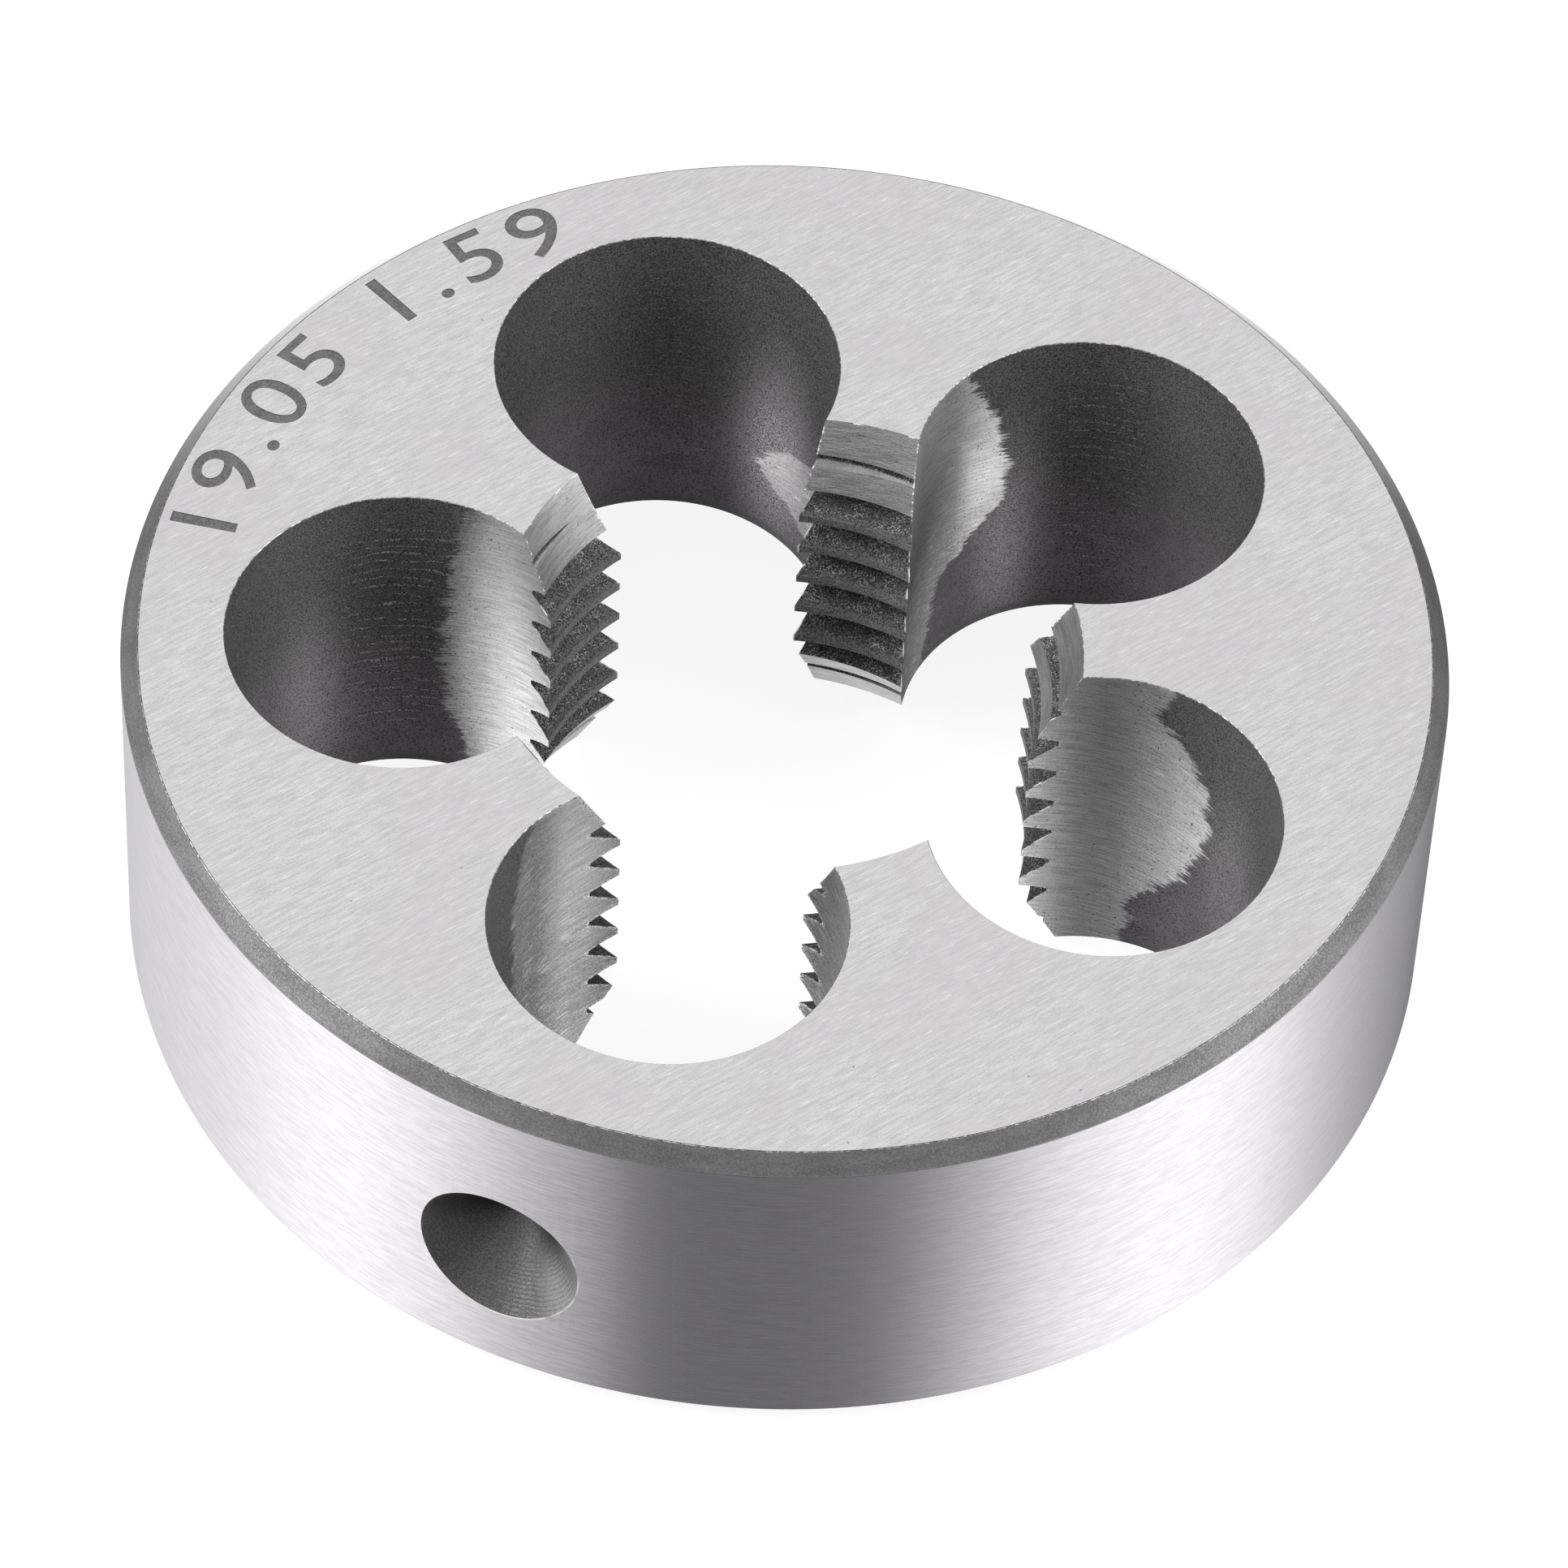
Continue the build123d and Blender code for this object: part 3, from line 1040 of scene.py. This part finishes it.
# A bead of real burr where a chip hole breaks through, painted nearly white as a glint.
edge = times(tree, ease(tree, place_of["hole_gap"], 0.06, 0.01), ease(tree, drift, 0.46, 0.6))
colour = blend(tree, edge, colour, grey(0.9))
metal = calc(tree, "MAXIMUM", edge, calc(tree, "MAXIMUM", bright, cleaned))
link(tree, shader.inputs["Specular IOR Level"], ease(tree, speck, 0.36, 0.6, 0.12, 0.6))
dress(tree, shader, metal, colour, ease(tree, edge, 0.0, 1.0, 0.45, 0.9), speck, 0.012)

# %% Finish the seats
HIGHLIGHT_TURN = 5.0               # the middle of the painted highlight is this far below the right
RING_WAVE = 56.0              # radians of the rings' wave for each millimetre outwards
SHAKE_WAVE = 52.0             # waves of shake in one turn

tree, shader = finish("drilled_seat")
place_of = mapped(tree)
out, swing = place_of["seat_out"], place_of["seat_turn"]
grainy = grain(tree, 14)
wobble = grain(tree, 0.8, 1.0, 0.5)
patches = ease(tree, grain(tree, 1.4), 0.42, 0.58)
lower_right = beside_turn(tree, place_of, LIP_TURN, 0.1, 0.8)
outer = times(tree, ease(tree, out, 0.9, 2.2), ease(tree, lower_right, 0.0, 1.0, 0.15, 1.0))
rings = plus(tree, times(tree, out, RING_WAVE), times(tree, wobble, 6.0))
rings = times(tree, calc(tree, "SINE", rings), outer)
shakes = plus(tree, times(tree, swing, SHAKE_WAVE), times(tree, wobble, 12.0))
ticks = times(tree, ease(tree, calc(tree, "SINE", shakes), 0.75, 1.0, 0.0, 0.3), outer, patches)
# Painted shade in the grooves of the rings, strongest on the lower right.
groove_shade = times(tree, ease(tree, rings, -0.2, -0.9, 0.0, 0.5), ease(tree, grainy, 0.42, 0.56))
# A painted highlight on the right of each seat.
wear_and_highlight = times(tree, beside_turn(tree, place_of, HIGHLIGHT_TURN, 0.5, 1.0),
             ease(tree, out, 1.0, 2.2, 0.0, 0.9))
colour = between(tree, grainy, 0.36, 0.64, 0.08, 0.13)
colour = blend(tree, wear_and_highlight, colour, grey(0.35))
colour = blend(tree, groove_shade, colour, grey(0.05))
colour = blend(tree, ticks, colour, grey(0.04))
dress(tree, shader, 1.0, colour, 0.44, plus(tree, times(tree, rings, 0.1), grainy), 0.015)

# %% [markdown]
# ## Floor, surroundings and lamps
#
# Steel has no look of its own: it shows what stands round it. The photograph was
# taken in a white tent with bright sides and a dark front, where the camera
# looks in. So the world is plain white for the camera, and for reflections it
# is a soft band of light on each side, dimmer towards the camera. The floor is
# pale, shows its shadow, and leaves the reflections to the world.

# %% Lay the floor
FLOOR_SIZE = 4.0              # metres
FLOOR_DROP = 0.00002          # metres below the die, so that no two faces share a plane


def by_ray(tree, ray, usual, special):
    """Show a special shader to one kind of ray, and the usual one to all others."""
    return node(tree, "MixShader", [
        (0, node(tree, "LightPath", output=ray)), (1, usual), (2, special)])


bpy.ops.object.select_all(action="DESELECT")
bpy.ops.mesh.primitive_plane_add(size=FLOOR_SIZE, location=(0, 0, -FLOOR_DROP))
floor = bpy.context.object
floor.name = "studio_floor"
floor.data.materials.append(bpy.data.materials.new("pale_floor"))
floor.visible_glossy = False
tree, shader = finish("pale_floor")
for name, value in (("Base Color", grey(0.9)), ("Roughness", 1.0), ("Specular IOR Level", 0.0)):
    link(tree, shader.inputs[name], value)
# The camera sees a paper that glows nearly white, so only a faint shadow is left on it.
paper = node(tree, "BsdfDiffuse", [("Color", grey(0.24))])
glow = node(tree, "Emission", [("Color", grey(1.0)), ("Strength", 0.86)])
seen = node(tree, "AddShader", [(0, paper), (1, glow)])
link(tree, tree.nodes["Material Output"].inputs["Surface"],
     by_ray(tree, "Is Camera Ray", shader.outputs[0], seen))

# %% Paint the surroundings
FRONT = -74.63                # the heading of the camera
# The light that stands round the die near the ground: first where, from the back (0) over the
# left, the front (0.5) and the right to the back again (1), and then half its strength.
SIDES = [
    (0.0, 0.2), (0.05, 0.33), (0.1, 0.44), (0.19, 0.56), (0.24, 0.76), (0.28, 0.88),
    (0.335, 0.68), (0.385, 0.39), (0.415, 0.31), (0.438, 0.09), (0.5, 0.105), (0.56, 0.11),
    (0.59, 0.22), (0.61, 0.38), (0.66, 0.70), (0.72, 0.88), (0.77, 0.74), (0.82, 0.38),
    (0.88, 0.2), (0.92, 0.13), (0.95, 0.0), (1.0, 0.05)]

world = bpy.data.worlds.new("surroundings")
bpy.context.scene.world = world
world.use_nodes = True
tree = world.node_tree
tree.nodes.clear()
heading = node(tree, "VectorRotate", [
    ("Vector", node(tree, "TexCoord", output="Generated")), ("Axis", (0, 0, 1)),
    ("Angle", math.radians(-FRONT))], rotation_type="AXIS_ANGLE")
way = node(tree, "SeparateXYZ", [(0, heading)]).node.outputs
round_way = calc(tree, "DIVIDE", calc(tree, "ARCTAN2", way["Y"], way["X"]), 2 * math.pi)
sides = tree.nodes.new("ShaderNodeValToRGB")
sides.color_ramp.interpolation = "EASE"
while len(sides.color_ramp.elements) < len(SIDES):
    sides.color_ramp.elements.new(0.5)
for stop, (position, level) in zip(sides.color_ramp.elements, SIDES):
    stop.position, stop.color = position, grey(level)
link(tree, sides.inputs["Fac"], plus(tree, round_way, 0.5))
low = times(tree, sides.outputs["Color"], 2.0)
above = ease(tree, way["Z"], 0.0, 0.45)
level = plus(tree, times(tree, low, minus(tree, 1.0, above)), above)
plain, tent, white = [node(tree, "Background", [("Color", grey(1.0)), ("Strength", strength)])
                      for strength in (0.6, level, 1.0)]
link(tree, tree.nodes.new("ShaderNodeOutputWorld").inputs["Surface"],
     by_ray(tree, "Is Camera Ray", by_ray(tree, "Is Glossy Ray", plain, tent), white))
print(len(SIDES), "stops of light round the die")

# %% Hang the lamps
LAMP_SIZE = 0.35              # metres across
LAMPS = [("left_lamp", (-0.42, -0.16, 0.36), 2.4), ("right_lamp", (0.40, 0.05, 0.30), 1.4)]

for name, spot, power in LAMPS:
    bpy.ops.object.light_add(type="AREA", location=spot)
    lamp = bpy.context.object
    lamp.name = name
    lamp.data.shape = "DISK"
    lamp.data.size = LAMP_SIZE
    lamp.data.energy = power
    lamp.rotation_mode = "QUATERNION"
    lamp.rotation_quaternion = (-lamp.location).to_track_quat("-Z", "Y")
    print(f"{name} of {power} W")
bpy.context.scene.view_settings.view_transform = "Standard"
